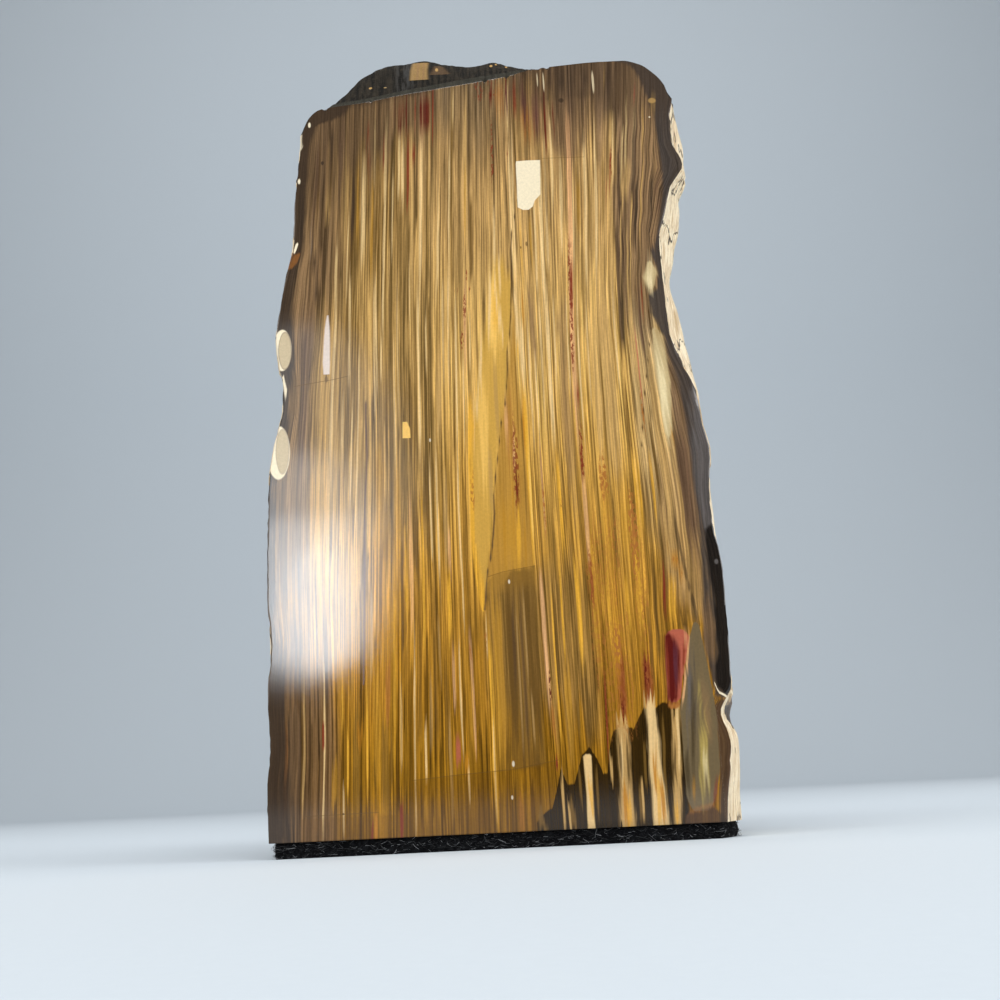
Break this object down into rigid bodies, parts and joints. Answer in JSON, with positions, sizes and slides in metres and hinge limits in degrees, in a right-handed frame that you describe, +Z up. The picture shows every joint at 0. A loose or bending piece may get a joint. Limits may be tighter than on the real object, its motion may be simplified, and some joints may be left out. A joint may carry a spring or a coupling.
{
  "type": "petrified wood specimen",
  "caption": "Upright half log of petrified wood with a polished sawn face, weathered back and felt base, a free-standing display stone or bookend.",
  "frame": {"origin": "middle of the footprint, on the surface that the felt pad rests on", "axes": "+Z up along the grain, -Y out of the polished face, +X to the right as the face is seen"},
  "size_m": [0.0722, 0.0448, 0.1357],
  "materials": {
    "petrified_wood": "polished",
    "felt": "matte"
  },
  "bodies": {
    "root": {"petrified_wood": "petrified_wood", "felt_pad": "felt"}
  },
  "joints": []
}
